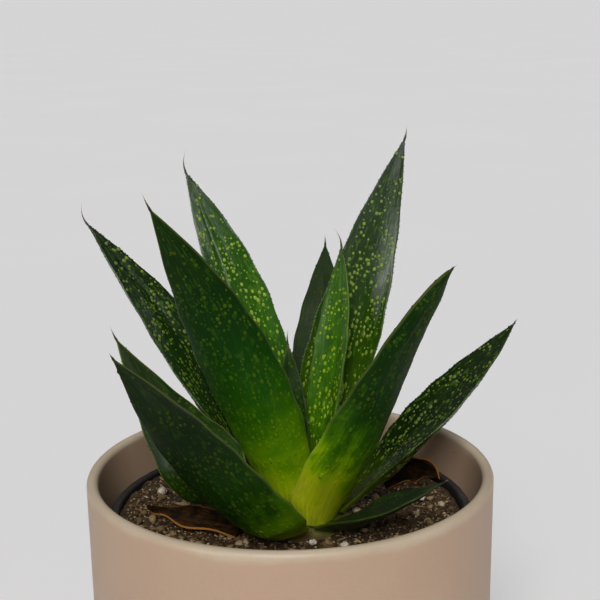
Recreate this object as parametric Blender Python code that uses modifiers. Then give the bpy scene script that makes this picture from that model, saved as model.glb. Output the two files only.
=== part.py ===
"""Potted gasteria: a rosette of twelve leaves in a nursery pot, inside a plain cover pot.

Metres, +Z up. The cover pot's foot is on z = 0 with its axis on the Z axis, and the front faces -Y.
"""

import math
from typing import NamedTuple

import bpy
from mathutils import Matrix, Vector

# Cover pot
COVER_RADIUS = 0.0600
COVER_HEIGHT = 0.1100
COVER_WALL = 0.0034
COVER_FLOOR = 0.0050
COVER_DRAFT = 0.0072
FOOT_ROUND = 0.0022

# Nursery pot, which stands loose on the cover pot's floor
RIM_DROP = 0.0122
LIP_SIDE_GAP = 0.0028
LIP_OVERHANG = 0.0014
LIP_HEIGHT = 0.0040
LIP_ROUND = 0.0004
NURSERY_WALL = 0.0010
NURSERY_FLOOR = 0.0014
NURSERY_BASE_SHARE = 0.72
DRAIN_HOLES = 6
DRAIN_RADIUS = 0.0040

# Potting mix and the plant in it
SOIL_DROP = 0.0150
SOIL_EDGE_FALL = 0.0012
FIT_GAP = 0.0003
PLANT_SCALE = 1.0
CROWN_X = 0.0020
CROWN_Y = -0.0030
CROWN_RADIUS = 0.0162
CROWN_HEIGHT = 0.0050
CROWN_TOP_RADIUS = 0.0015
CROWN_EDGE = 0.0002
CROWN_SKIRT = 0.0010
NECK_RADIUS = 0.0075
NECK_DEPTH = 0.0075
STEM_DEPTH = 0.0260
STEM_END_RADIUS = 0.0030
ROOT_COUNT = 5
ROOT_LENGTH = 0.0340
ROOT_RADIUS = 0.0024
ROOT_DIP = 52.0

# Leaf sections
STATIONS = 13
UPPER_POINTS = 7
LOWER_POINTS = 7
MARGIN = 0.0008
TIP_HALF_WIDTH = 0.00035
FOOT_THICKNESS_SHARE = 0.55
TIP_THICKNESS_LOSS = 0.72
BODY_START = 0.25

# Dry leaves and loose pieces on the mix
CURL_STATIONS = 11
CURL_POINTS = 6
PERLITE_RADIUS = 0.0015
PERLITE_SQUASH = 0.8
BARK_LENGTH = 0.0052
BARK_WEAR = 0.0003
# A place on the mix is an angle in degrees and a share of the way from the crown's edge to the pot's wall
PERLITE_PLACES = (
    (281.6, 0.152), (299.5, 0.332), (11.4, 0.687),
    (158.8, 0.779), (135.7, 0.609), (57.8, 0.685),
)
BARK_PLACES = ((290.2, 0.289), (354.0, 0.455), (210.1, 0.682), (103.7, 0.603), (315.3, 0.723))

SEGMENTS = 56


class Leaf(NamedTuple):
    """One leaf, measured from the crown: lengths in metres, angles in degrees, curvature in 1/m."""

    azimuth: float
    seat: float
    foot_gap: float
    reach: float
    rise: float
    drift: float
    launch: float
    width: float
    thick: float
    foot_width: float
    twist: float = 0.0
    lean: float = 0.0
    lead: float = 0.45
    cup: float = 0.0
    peak: float = 0.40
    fullness: float = 2.4


class Curl(NamedTuple):
    """A dry leaf curled round a path, whose points are a place on the mix and a height over it."""

    start: tuple
    knee: tuple
    tip: tuple
    face: tuple
    width: float
    wrap: float
    thick: float


CURLS = {
    "dried_leaf_left": Curl(
        (220.0, 0.159, 0.0022), (193.1, 0.478, 0.0030), (176.8, 0.793, 0.0022),
        (0.1, -0.45, 0.9), 0.0094, 95, 0.0006,
    ),
    "dried_leaf_right": Curl(
        (32.8, 0.490, 0.0034), (35.8, 0.963, 0.0068), (19.5, 0.962, 0.0032),
        (-0.15, -1.0, 0.12), 0.0098, 120, 0.0006,
    ),
}

# From the youngest, in the middle, to the oldest, outside: each seat is outside the ones before it.
LEAVES = {
    "leaf_centre_young": Leaf(
        95, 0.0014, 0.0005, 0.0114, 0.0510, 0.0012, 81, 0.0091, 0.0022, 0.0060, cup=10
    ),
    "leaf_centre_hooked": Leaf(
        41, 0.0040, 0.0007, 0.0221, 0.0787, 0.0036, 75, 0.0127, 0.0034, 0.0089,
        twist=6, lean=-0.05, lead=0.50, cup=30, peak=0.49,
    ),
    "leaf_back_left": Leaf(
        136, 0.0061, 0.0006, 0.0388, 0.1008, 0.0052, 80, 0.0206, 0.0040, 0.0115,
        twist=-9, lean=-0.06, lead=0.49, cup=20, peak=0.42,
    ),
    "leaf_front_left": Leaf(
        252, 0.0070, 0.0003, 0.0416, 0.0991, -0.0251, 70, 0.0226, 0.0050, 0.0150,
        twist=15, lean=-0.04, cup=3, peak=0.35,
    ),
    "leaf_right_tall": Leaf(
        64, 0.0085, 0.0009, 0.0376, 0.1098, -0.0194, 69, 0.0224, 0.0042, 0.0120,
        twist=19, lean=-0.06, lead=0.43, cup=28, fullness=1.9,
    ),
    "leaf_left_high": Leaf(
        157, 0.0094, 0.0005, 0.0647, 0.0863, 0.0048, 66, 0.0190, 0.0044, 0.0130,
        twist=-30, lean=-0.03, lead=0.47, cup=28, peak=0.34, fullness=1.9,
    ),
    "leaf_left_low": Leaf(
        219, 0.0104, 0.0023, 0.0322, 0.0521, -0.0456, 17, 0.0240, 0.0040, 0.0110,
        twist=66, lean=0.15, lead=0.30, peak=0.51, fullness=1.4,
    ),
    "leaf_front_right": Leaf(
        306, 0.0107, 0.0011, 0.0501, 0.0822, 0.0139, 60, 0.0252, 0.0050, 0.0156,
        twist=12, lean=-0.04, lead=0.90, peak=0.08, fullness=1.8,
    ),
    "leaf_back": Leaf(
        78, 0.0113, 0.0008, 0.0542, 0.0725, 0.0006, 62, 0.0181, 0.0040, 0.0120,
        lean=-0.06, cup=20,
    ),
    "leaf_right_low": Leaf(
        6, 0.0122, 0.0016, 0.0667, 0.0556, 0.0058, 42, 0.0180, 0.0046, 0.0130,
        twist=18, cup=28, peak=0.42,
    ),
    "leaf_front_small": Leaf(
        309, 0.0142, 0.0021, 0.0432, 0.0196, 0.0176, 25, 0.0160, 0.0036, 0.0112,
        twist=18, lean=-0.04, cup=12, peak=0.42,
    ),
    "leaf_front_low": Leaf(
        253, 0.0148, 0.0027, 0.0402, 0.0581, -0.0386, 19, 0.0254, 0.0048, 0.0156,
        twist=-8, lean=0.10, peak=0.32, fullness=2.6,
    ),
}


def clear_scene():
    for obj in list(bpy.data.objects):
        bpy.data.objects.remove(obj, do_unlink=True)


def new_collection(name):
    collection = bpy.data.collections.new(name)
    bpy.context.scene.collection.children.link(collection)
    return collection


def material(name, colour, roughness):
    made = bpy.data.materials.new(name)
    made.use_nodes = True
    shader = made.node_tree.nodes["Principled BSDF"]
    shader.inputs["Base Color"].default_value = (*colour, 1.0)
    shader.inputs["Roughness"].default_value = roughness
    return made


def mesh_object(name, points, faces, collection, colour=(0.5, 0.5, 0.5), roughness=0.6):
    mesh = bpy.data.meshes.new(name)
    mesh.from_pydata([tuple(point) for point in points], [], faces)
    mesh.update()
    obj = bpy.data.objects.new(name, mesh)
    mesh.materials.append(material(name, colour, roughness))
    collection.objects.link(obj)
    return obj


def shade_smooth(obj):
    for polygon in obj.data.polygons:
        polygon.use_smooth = True


def turned(name, profile, collection, colour, roughness):
    """A solid turned round Z from a profile whose outer side runs from the top down."""
    points = [(radius, 0.0, height) for radius, height in profile]
    mesh = bpy.data.meshes.new(name)
    mesh.from_pydata(points, [(i, i + 1) for i in range(len(points) - 1)], [])
    obj = bpy.data.objects.new(name, mesh)
    mesh.materials.append(material(name, colour, roughness))
    collection.objects.link(obj)
    screw = obj.modifiers.new("Turn", "SCREW")
    screw.axis = "Z"
    screw.steps = SEGMENTS
    screw.render_steps = SEGMENTS
    screw.use_merge_vertices = True
    screw.merge_threshold = 0.00001
    screw.use_smooth_shade = True
    return obj


def hide_cutter(obj):
    obj.hide_render = True
    obj.display_type = "WIRE"


def boolean(obj, other, operation):
    modifier = obj.modifiers.new(other.name, "BOOLEAN")
    modifier.operation = operation
    modifier.solver = "EXACT"
    modifier.object = other


def arc(centre, radius, start, end, steps):
    """Points of an arc in the profile plane, from one angle to another in degrees."""
    points = []
    for step in range(steps + 1):
        angle = math.radians(start + (end - start) * step / steps)
        points.append((centre[0] + radius * math.cos(angle), centre[1] + radius * math.sin(angle)))
    return points


def cover_radius_at(height):
    """The cover pot's outer radius, which narrows a little towards its foot."""
    return COVER_RADIUS - COVER_DRAFT * (COVER_HEIGHT - height)


def build_cover_pot(collection):
    rim = COVER_WALL / 2
    rim_centre = (COVER_RADIUS - rim, COVER_HEIGHT - rim)
    inner_foot = cover_radius_at(COVER_FLOOR) - COVER_WALL
    profile = [(0.0, COVER_FLOOR)]
    profile.append((inner_foot - FOOT_ROUND, COVER_FLOOR))
    profile.append((inner_foot, COVER_FLOOR + FOOT_ROUND))
    profile += arc(rim_centre, rim, 180, 0, 6)
    foot = cover_radius_at(0.0)
    profile += arc((foot - FOOT_ROUND, FOOT_ROUND), FOOT_ROUND, 0, -90, 3)
    profile.append((0.0, 0.0))
    return turned("cover_pot", profile, collection, colour=(0.62, 0.52, 0.42), roughness=0.45)


def nursery_sizes():
    """(lip radius, wall's outer radius at the top and at the base, base height, top height)"""
    lip = COVER_RADIUS - COVER_WALL - LIP_SIDE_GAP
    wall = lip - LIP_OVERHANG
    base = COVER_FLOOR + FIT_GAP
    top = COVER_HEIGHT - RIM_DROP
    return lip, wall, wall * NURSERY_BASE_SHARE, base, top


def build_nursery_pot(collection, cutters):
    lip, wall, foot, base, top = nursery_sizes()
    profile = [(0.0, base + NURSERY_FLOOR)]
    profile.append((foot - NURSERY_WALL, base + NURSERY_FLOOR))
    profile.append((wall - NURSERY_WALL, top - LIP_HEIGHT))
    profile.append((wall - NURSERY_WALL, top - LIP_ROUND))
    profile.append((wall - NURSERY_WALL + LIP_ROUND, top))
    profile.append((lip - LIP_ROUND, top))
    profile.append((lip, top - LIP_ROUND))
    profile.append((lip, top - LIP_HEIGHT))
    profile.append((wall, top - LIP_HEIGHT - 2 * LIP_ROUND))
    profile.append((foot, base))
    profile.append((0.0, base))
    pot = turned("nursery_pot", profile, collection, colour=(0.02, 0.02, 0.02), roughness=0.5)
    for index in range(DRAIN_HOLES):
        angle = 2 * math.pi * index / DRAIN_HOLES
        ring = foot * 0.62
        centre = (ring * math.cos(angle), ring * math.sin(angle), base + NURSERY_FLOOR / 2)
        bpy.ops.mesh.primitive_cylinder_add(
            vertices=16, radius=DRAIN_RADIUS, depth=NURSERY_FLOOR * 4, location=centre
        )
        hole = bpy.context.active_object
        hole.name = f"drain_cutter_{index + 1}"
        move_to(hole, cutters)
        hide_cutter(hole)
        boolean(pot, hole, "DIFFERENCE")
    return pot


def move_to(obj, collection):
    for old in list(obj.users_collection):
        old.objects.unlink(obj)
    collection.objects.link(obj)


def soil_height():
    return COVER_HEIGHT - SOIL_DROP


def mix_radius():
    """The potting mix's radius under the nursery pot's lip, where it is widest."""
    return nursery_sizes()[1] - NURSERY_WALL - FIT_GAP


def crown_place():
    return Vector((CROWN_X, CROWN_Y, soil_height()))


def on_mix(angle, share, height):
    """A point over the mix, part of the way from the crown's edge to the nursery pot's wall."""
    turn = math.radians(angle)
    out = Vector((math.cos(turn), math.sin(turn), 0.0))
    start = crown_place() + out * (CROWN_RADIUS * PLANT_SCALE)
    end = out * mix_radius() + Vector((0.0, 0.0, soil_height()))
    return start.lerp(end, share) + Vector((0.0, 0.0, height))


def build_potting_mix(collection, cutter):
    _, _, foot, base, top = nursery_sizes()
    bottom = base + NURSERY_FLOOR + FIT_GAP
    inner_foot = foot - NURSERY_WALL - FIT_GAP
    straight = top - LIP_HEIGHT
    side = soil_height() - SOIL_EDGE_FALL
    shoulder = min(side - 0.0010, straight)
    share = (shoulder - bottom) / (straight - bottom)
    edge = inner_foot + (mix_radius() - inner_foot) * share
    profile = [(0.0, soil_height())]
    profile.append((edge * 0.45, soil_height()))
    profile.append((edge * 0.80, soil_height() - SOIL_EDGE_FALL * 0.3))
    profile.append((edge - 0.0012, side))
    profile.append((edge, shoulder))
    profile.append((inner_foot, bottom))
    profile.append((0.0, bottom))
    mix = turned("potting_mix", profile, collection, colour=(0.05, 0.03, 0.02), roughness=0.95)
    boolean(mix, cutter, "DIFFERENCE")
    return mix


def crown_height(radius):
    """The crown's height at a distance from its axis, before the plant is scaled."""
    share = (radius - CROWN_TOP_RADIUS) / (CROWN_RADIUS - CROWN_TOP_RADIUS)
    return CROWN_HEIGHT + (CROWN_EDGE - CROWN_HEIGHT) * min(max(share, 0.0), 1.0)


def crown_profile(grow):
    """The short stem: a low cone that carries the leaves, and a taper down into the mix."""
    scale = PLANT_SCALE
    top = CROWN_HEIGHT * scale + grow
    profile = [(0.0, top)]
    profile.append((CROWN_TOP_RADIUS * scale + grow, top))
    profile.append((CROWN_RADIUS * scale + grow, CROWN_EDGE * scale + grow))
    profile.append((CROWN_RADIUS * scale + grow, -CROWN_SKIRT * scale - grow))
    profile.append((NECK_RADIUS * scale + grow, -NECK_DEPTH * scale - grow))
    profile.append((STEM_END_RADIUS * scale + grow, -STEM_DEPTH * scale - grow))
    profile.append((0.0, -STEM_DEPTH * scale - grow))
    return profile


def root(name, index, grow, collection):
    """One tapered root, set into the side of the stem and running down and outwards."""
    scale = PLANT_SCALE
    turn = 2 * math.pi * (index + 0.3) / ROOT_COUNT
    dip = math.radians(ROOT_DIP)
    along = Vector((math.cos(turn) * math.cos(dip), math.sin(turn) * math.cos(dip), -math.sin(dip)))
    length = ROOT_LENGTH * scale + grow
    start = crown_place() + Vector((0.0, 0.0, -NECK_DEPTH * scale))
    bpy.ops.mesh.primitive_cone_add(
        vertices=10,
        radius1=ROOT_RADIUS * scale + grow,
        radius2=0.0006 * scale + grow,
        depth=length,
        location=start + along * (length / 2),
        rotation=along.to_track_quat("Z", "Y").to_euler(),
    )
    obj = bpy.context.active_object
    obj.name = name
    move_to(obj, collection)
    return obj


def build_rootstock(name, grow, collection, cutters):
    """The stem with its roots, one natural piece. A grown copy is what cuts its bed in the mix."""
    stock = turned(name, crown_profile(grow), collection, colour=(0.55, 0.45, 0.30), roughness=0.8)
    stock.location = crown_place()
    for index in range(ROOT_COUNT):
        piece = root(f"{name}_root_{index + 1}", index, grow, cutters)
        hide_cutter(piece)
        boolean(stock, piece, "UNION")
    return stock


def smoothstep(value):
    value = min(max(value, 0.0), 1.0)
    return value * value * (3 - 2 * value)


def spine(leaf, share):
    """(place, direction, radial side) on a leaf's middle line, a curve with one knee."""
    turn = math.radians(leaf.azimuth)
    out = Vector((math.cos(turn), math.sin(turn), 0.0))
    side = Vector((-math.sin(turn), math.cos(turn), 0.0))
    up = Vector((0.0, 0.0, 1.0))
    foot = out * leaf.seat + up * (crown_height(leaf.seat) + leaf.foot_gap)
    tip = out * leaf.reach + side * leaf.drift + up * leaf.rise
    launch = math.radians(leaf.launch)
    heading = out * math.cos(launch) + up * math.sin(launch) + side * leaf.lean
    knee = foot + heading * (leaf.lead * (tip - foot).length)
    place = foot * (1 - share) ** 2 + knee * (2 * share * (1 - share)) + tip * share**2
    along = (knee - foot) * (1 - share) + (tip - knee) * share
    return place, along.normalized(), side


def half_width(leaf, share):
    if share < leaf.peak:
        swell = smoothstep(share / leaf.peak)
        return (leaf.foot_width + (leaf.width - leaf.foot_width) * swell) / 2
    taper = 1 - ((share - leaf.peak) / (1 - leaf.peak)) ** leaf.fullness
    return max(leaf.width / 2 * taper, TIP_HALF_WIDTH)


def thickness(leaf, share):
    swell = FOOT_THICKNESS_SHARE + (1 - FOOT_THICKNESS_SHARE) * min(share / BODY_START, 1.0)
    late = max((share - BODY_START) / (1 - BODY_START), 0.0)
    return leaf.thick * swell * (1 - TIP_THICKNESS_LOSS * late**1.3)


def section(leaf, share):
    """One ring of points round a leaf: its hollow upper face, then its keeled lower face."""
    place, along, side = spine(leaf, share)
    across = (side - along * side.dot(along)).normalized()
    inward = along.cross(across)
    twist = math.radians(leaf.twist) * smoothstep((share - 0.12) / 0.5)
    across, inward = (
        across * math.cos(twist) + inward * math.sin(twist),
        inward * math.cos(twist) - across * math.sin(twist),
    )
    half = half_width(leaf, share)
    thick = thickness(leaf, share)
    from_axis = max(math.hypot(place.x, place.y), 0.001)
    steep = min(max(along.z, 0.2), 1.0)
    bend = 1 / max(from_axis / steep, half / 1.5) + leaf.cup * min(share / 0.4, 1.0)
    margin = min(MARGIN, thick * 0.5)
    ring = []
    for index in range(UPPER_POINTS):
        angle = half * bend * (2 * index / (UPPER_POINTS - 1) - 1)
        ring.append((math.sin(angle) / bend, (1 - math.cos(angle)) / bend))
    for index in range(LOWER_POINTS):
        level = 1 - 2 * index / (LOWER_POINTS - 1)
        angle = half * bend * level
        outer = 1 / bend + margin + (thick - margin) * (1 - abs(level) ** 1.8)
        ring.append((outer * math.sin(angle), 1 / bend - outer * math.cos(angle)))
    return [(place + across * x + inward * y) * PLANT_SCALE + crown_place() for x, y in ring]


def loft(rings):
    """(points, faces) of a closed skin over rings of equal count, with a flat cap at each end."""
    count = len(rings[0])
    points = [point for ring in rings for point in ring]
    faces = [tuple(range(count))]
    for row in range(len(rings) - 1):
        for index in range(count):
            after = (index + 1) % count
            low, high = row * count, (row + 1) * count
            faces.append((low + index, high + index, high + after, low + after))
    last = (len(rings) - 1) * count
    faces.append(tuple(last + index for index in reversed(range(count))))
    return points, faces


def build_leaf(name, leaf, collection):
    rings = [section(leaf, step / (STATIONS - 1)) for step in range(STATIONS)]
    points, faces = loft(rings)
    obj = mesh_object(name, points, faces, collection, colour=(0.05, 0.16, 0.03), roughness=0.35)
    shade_smooth(obj)
    return obj


def curl_section(curl, share):
    """One ring round a dry leaf: its hollow face from rim to rim, then its outer face."""
    start, knee, tip = on_mix(*curl.start), on_mix(*curl.knee), on_mix(*curl.tip)
    place = start * (1 - share) ** 2 + knee * (2 * share * (1 - share)) + tip * share**2
    along = ((knee - start) * (1 - share) + (tip - knee) * share).normalized()
    face = Vector(curl.face)
    face = (face - along * face.dot(along)).normalized()
    across = face.cross(along)
    half = curl.width / 2 * math.sin(math.pi * (0.18 + 0.80 * share)) ** 0.8
    open_angle = math.radians(curl.wrap) / 2
    radius = curl.width / 2 / open_angle
    level = half / (curl.width / 2)
    ring = []
    for side, count in ((radius, 1), (radius + curl.thick, -1)):
        for index in range(CURL_POINTS):
            angle = open_angle * level * (2 * index / (CURL_POINTS - 1) - 1) * count
            inward = radius - side * math.cos(angle)
            ring.append(place + across * (side * math.sin(angle)) + face * inward)
    return ring


def build_curl(name, curl, collection):
    rings = [curl_section(curl, step / (CURL_STATIONS - 1)) for step in range(CURL_STATIONS)]
    points, faces = loft(rings)
    obj = mesh_object(name, points, faces, collection, colour=(0.20, 0.09, 0.03), roughness=0.8)
    shade_smooth(obj)
    return obj


def build_perlite(collection):
    for index, (angle, share) in enumerate(PERLITE_PLACES):
        size = PERLITE_RADIUS * (0.8 + 0.12 * (index % 4))
        bpy.ops.mesh.primitive_ico_sphere_add(
            subdivisions=2,
            radius=size,
            location=on_mix(angle, share, FIT_GAP + size * PERLITE_SQUASH),
            rotation=(0.0, 0.0, 0.7 * index),
        )
        grain = bpy.context.active_object
        grain.name = f"perlite_grain_{index + 1}"
        grain.scale = (1.15, 0.9, PERLITE_SQUASH)
        grain.data.materials.append(material(grain.name, (0.75, 0.73, 0.68), 0.9))
        move_to(grain, collection)


def build_bark(collection):
    for index, (angle, share) in enumerate(BARK_PLACES):
        length = BARK_LENGTH * (0.8 + 0.15 * (index % 3))
        rise = length * 0.17
        bpy.ops.mesh.primitive_cube_add(
            size=1.0,
            location=on_mix(angle, share, FIT_GAP + rise),
            rotation=(0.0, 0.0, 0.9 * index + 0.3),
        )
        chip = bpy.context.active_object
        chip.name = f"bark_chip_{index + 1}"
        chip.data.transform(Matrix.Diagonal((length, length * 0.55, rise * 2, 1.0)))
        chip.data.materials.append(material(chip.name, (0.16, 0.08, 0.04), 0.9))
        bevel = chip.modifiers.new("Worn edges", "BEVEL")
        bevel.width = BARK_WEAR
        bevel.segments = 1
        move_to(chip, collection)


def main():
    clear_scene()
    parts = new_collection("potted_gasteria")
    cutters = new_collection("cutters")
    build_cover_pot(parts)
    build_nursery_pot(parts, cutters)
    bed = build_rootstock("root_bed_cutter", FIT_GAP, cutters, cutters)
    hide_cutter(bed)
    build_potting_mix(parts, bed)
    build_rootstock("rootstock", 0.0, parts, cutters)
    for name, leaf in LEAVES.items():
        build_leaf(name, leaf, parts)
    for name, curl in CURLS.items():
        build_curl(name, curl, parts)
    build_perlite(parts)
    build_bark(parts)


main()
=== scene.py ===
"""Looks of the potted gasteria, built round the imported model. Metres, +Z up, front towards -Y."""

import math
from typing import NamedTuple

import bpy
import numpy as np
from mathutils import Matrix, Vector, noise


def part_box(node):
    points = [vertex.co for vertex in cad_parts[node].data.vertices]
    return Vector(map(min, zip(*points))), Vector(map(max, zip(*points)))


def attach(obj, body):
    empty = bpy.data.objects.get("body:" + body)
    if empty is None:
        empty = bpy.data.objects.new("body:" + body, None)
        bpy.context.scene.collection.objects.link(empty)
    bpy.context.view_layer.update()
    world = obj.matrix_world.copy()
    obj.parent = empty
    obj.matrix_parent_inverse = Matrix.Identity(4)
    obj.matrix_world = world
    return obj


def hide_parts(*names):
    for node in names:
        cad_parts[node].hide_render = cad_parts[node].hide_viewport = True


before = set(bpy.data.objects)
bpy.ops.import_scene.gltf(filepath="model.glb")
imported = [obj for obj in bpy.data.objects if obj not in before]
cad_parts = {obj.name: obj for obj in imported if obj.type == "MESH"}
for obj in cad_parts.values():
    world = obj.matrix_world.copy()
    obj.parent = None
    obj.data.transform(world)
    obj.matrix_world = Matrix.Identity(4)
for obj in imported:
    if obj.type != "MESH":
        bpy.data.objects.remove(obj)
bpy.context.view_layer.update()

MM = 0.001
UP = np.array([0.0, 0.0, 1.0])

# Camera: its place, its turn to the right, its tilt down and its roll, in degrees
CAMERA_PLACE = (0.0, -0.3503, 0.2465)
CAMERA_YAW = 0.60
CAMERA_PITCH = 13.72
CAMERA_ROLL = -0.84
CAMERA_LENS = 75.0
CAMERA_SENSOR = 36.0

# The crown's cone and place, the mix's radius and the leaf sections, as the model's design has them
CROWN_RADIUS = 0.0162
CROWN_HEIGHT = 0.0050
CROWN_TOP_RADIUS = 0.0015
CROWN_EDGE = 0.0002
CROWN_PLACE = (0.0020, -0.0030)
MIX_RADIUS = 0.0511
MARGIN = 0.0008
TIP_HALF_WIDTH = 0.00035
FOOT_THICKNESS_SHARE = 0.55
TIP_THICKNESS_LOSS = 0.72
BODY_START = 0.25

# The model's own sections of a leaf: how many along it, and how many points across each
MODEL_STATIONS = 13
MODEL_POINTS = 7

# How finely leaves, awns and dry leaves are skinned
LEAF_STATIONS = 190
HAIR_STATIONS = 14
CURL_STATIONS = 110
ACROSS_POINTS = 31

# Where the random draws start: a leaf's spots and teeth, its slow waves, and the mix's tones
SPOT_SEED = 70
WAVE_SEED = 10
TONE_SEED = 5

# Raised spots and the teeth on a margin: their sizes and spacing, and the low domes that make them
SPOT_RADIUS = 0.00052
SPOT_HEIGHT = 0.00012
SPOT_ROW_GAP = 0.00155
SPOT_STEP = 0.00145
TOOTH_RADIUS = 0.00024
TOOTH_STEP = 0.0014
TOOTH_SINK = 0.00005
DOME_SIDES = 8
DOME_POINTS = 1 + 2 * DOME_SIDES
DOME_SINK = 0.00009

# Linear colours that all leaves share, and a dark to pale ramp for their awns
SPOT_COLOUR = (0.36, 0.52, 0.010)
FLECK_COLOUR = (0.10, 0.24, 0.010)
MARGIN_COLOUR = (0.22, 0.25, 0.06)
AWN_COLOURS = ((0.25, (0.030, 0.034, 0.012)), (0.6, (0.11, 0.085, 0.045)), (1.0, (0.50, 0.42, 0.30)))

# The cover pot: its wall, how much wider it grows with height, its roundings and its unevenness
POT_SIDES = 192
POT_WALL = 0.0034
POT_DRAFT = 0.0072
POT_FLOOR_GAP = 0.0003
POT_FOOT_ROUNDING = 0.0022
POT_CORNER = 0.0030
POT_CENTRE = 0.002
POT_WOBBLE = 0.0006

# The mix: its bed's grid, its foot's share of the radius, and the loose bits that lie on it
BED_RINGS = 90
BED_POINTS = 220
BED_FOOT_SHARE = 0.73
SOIL_EDGE_GAP = 0.0007
SOIL_CRUMBS = 7600
SOIL_LUMPS = 430
SOIL_SLIVERS = 90

# Light: softboxes, the floor, and how strong the world is as light and as a background
STRIP_DISTANCE = 1.3
STRIP_AIM = 0.14
FLOOR_RADIUS = 600.0
FLOOR_GLOW = 0.15
WORLD_LIGHT = 0.09
WORLD_SEEN = 0.84


class Leaf(NamedTuple):
    """One leaf, measured from the crown: lengths in metres, angles in degrees, curvature in 1/m.

    lead is how far out the bend of its path lies, peak where it is widest, fullness how late it tapers.
    """

    azimuth: float
    seat: float
    foot_gap: float
    reach: float
    rise: float
    drift: float
    launch: float
    width: float
    thick: float
    foot_width: float
    twist: float = 0.0
    lean: float = 0.0
    lead: float = 0.45
    cup: float = 0.0
    peak: float = 0.40
    fullness: float = 2.4


class Look(NamedTuple):
    """A leaf's looks: linear colours at shares of its length, strengths of details, then shapes in mm.

    hair is where the awn ends past the tip. keel and groove are a level across the leaf, from -1 to 1,
    and a height or depth. The last field moves the colours along the leaf with the level, which paints
    shade on one side.
    """

    colours: tuple
    spots: float
    rim: float
    gloss: float
    hair: tuple
    keel: tuple = (0.1, 0.25)
    groove: tuple = (0.1, 0.15)
    teeth: float = 1.0
    painted_side_shade: float = 0.0


LEAVES = {
    "leaf_centre_young": Leaf(
        95, 0.0014, 0.0005, 0.0114, 0.0510, 0.0012, 81, 0.0091, 0.0022, 0.0060, cup=10
    ),
    "leaf_centre_hooked": Leaf(
        41, 0.0040, 0.0007, 0.0221, 0.0787, 0.0036, 75, 0.0127, 0.0034, 0.0089,
        twist=6, lean=-0.05, lead=0.50, cup=30, peak=0.49,
    ),
    "leaf_back_left": Leaf(
        136, 0.0061, 0.0006, 0.0388, 0.1008, 0.0052, 80, 0.0206, 0.0040, 0.0115,
        twist=-9, lean=-0.06, lead=0.49, cup=20, peak=0.42,
    ),
    "leaf_front_left": Leaf(
        252, 0.0070, 0.0003, 0.0416, 0.0991, -0.0251, 70, 0.0226, 0.0050, 0.0150,
        twist=15, lean=-0.04, cup=3, peak=0.35,
    ),
    "leaf_right_tall": Leaf(
        64, 0.0085, 0.0009, 0.0376, 0.1098, -0.0194, 69, 0.0224, 0.0042, 0.0120,
        twist=19, lean=-0.06, lead=0.43, cup=28, fullness=1.9,
    ),
    "leaf_left_high": Leaf(
        157, 0.0094, 0.0005, 0.0647, 0.0863, 0.0048, 66, 0.0190, 0.0044, 0.0130,
        twist=-30, lean=-0.03, lead=0.47, cup=28, peak=0.34, fullness=1.9,
    ),
    "leaf_left_low": Leaf(
        219, 0.0104, 0.0023, 0.0322, 0.0521, -0.0456, 17, 0.0240, 0.0040, 0.0110,
        twist=66, lean=0.15, lead=0.30, peak=0.51, fullness=1.4,
    ),
    "leaf_front_right": Leaf(
        306, 0.0107, 0.0011, 0.0501, 0.0822, 0.0139, 60, 0.0252, 0.0050, 0.0156,
        twist=12, lean=-0.04, lead=0.90, peak=0.08, fullness=1.8,
    ),
    "leaf_back": Leaf(
        78, 0.0113, 0.0008, 0.0542, 0.0725, 0.0006, 62, 0.0181, 0.0040, 0.0120,
        lean=-0.06, cup=20,
    ),
    "leaf_right_low": Leaf(
        6, 0.0122, 0.0016, 0.0667, 0.0556, 0.0058, 42, 0.0180, 0.0046, 0.0130,
        twist=18, cup=28, peak=0.42,
    ),
    "leaf_front_small": Leaf(
        309, 0.0142, 0.0021, 0.0432, 0.0196, 0.0176, 25, 0.0160, 0.0036, 0.0112,
        twist=18, lean=-0.04, cup=12, peak=0.42,
    ),
    "leaf_front_low": Leaf(
        253, 0.0148, 0.0027, 0.0402, 0.0581, -0.0386, 19, 0.0254, 0.0048, 0.0156,
        twist=-8, lean=0.10, peak=0.32, fullness=2.6,
    ),
}

# Each leaf's colours are partly its own and partly painted light and shade: darker leaves and darker
# tips stand partly for shade, and the very pale feet of the front leaves stand partly for light shining
# through the flesh.
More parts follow.
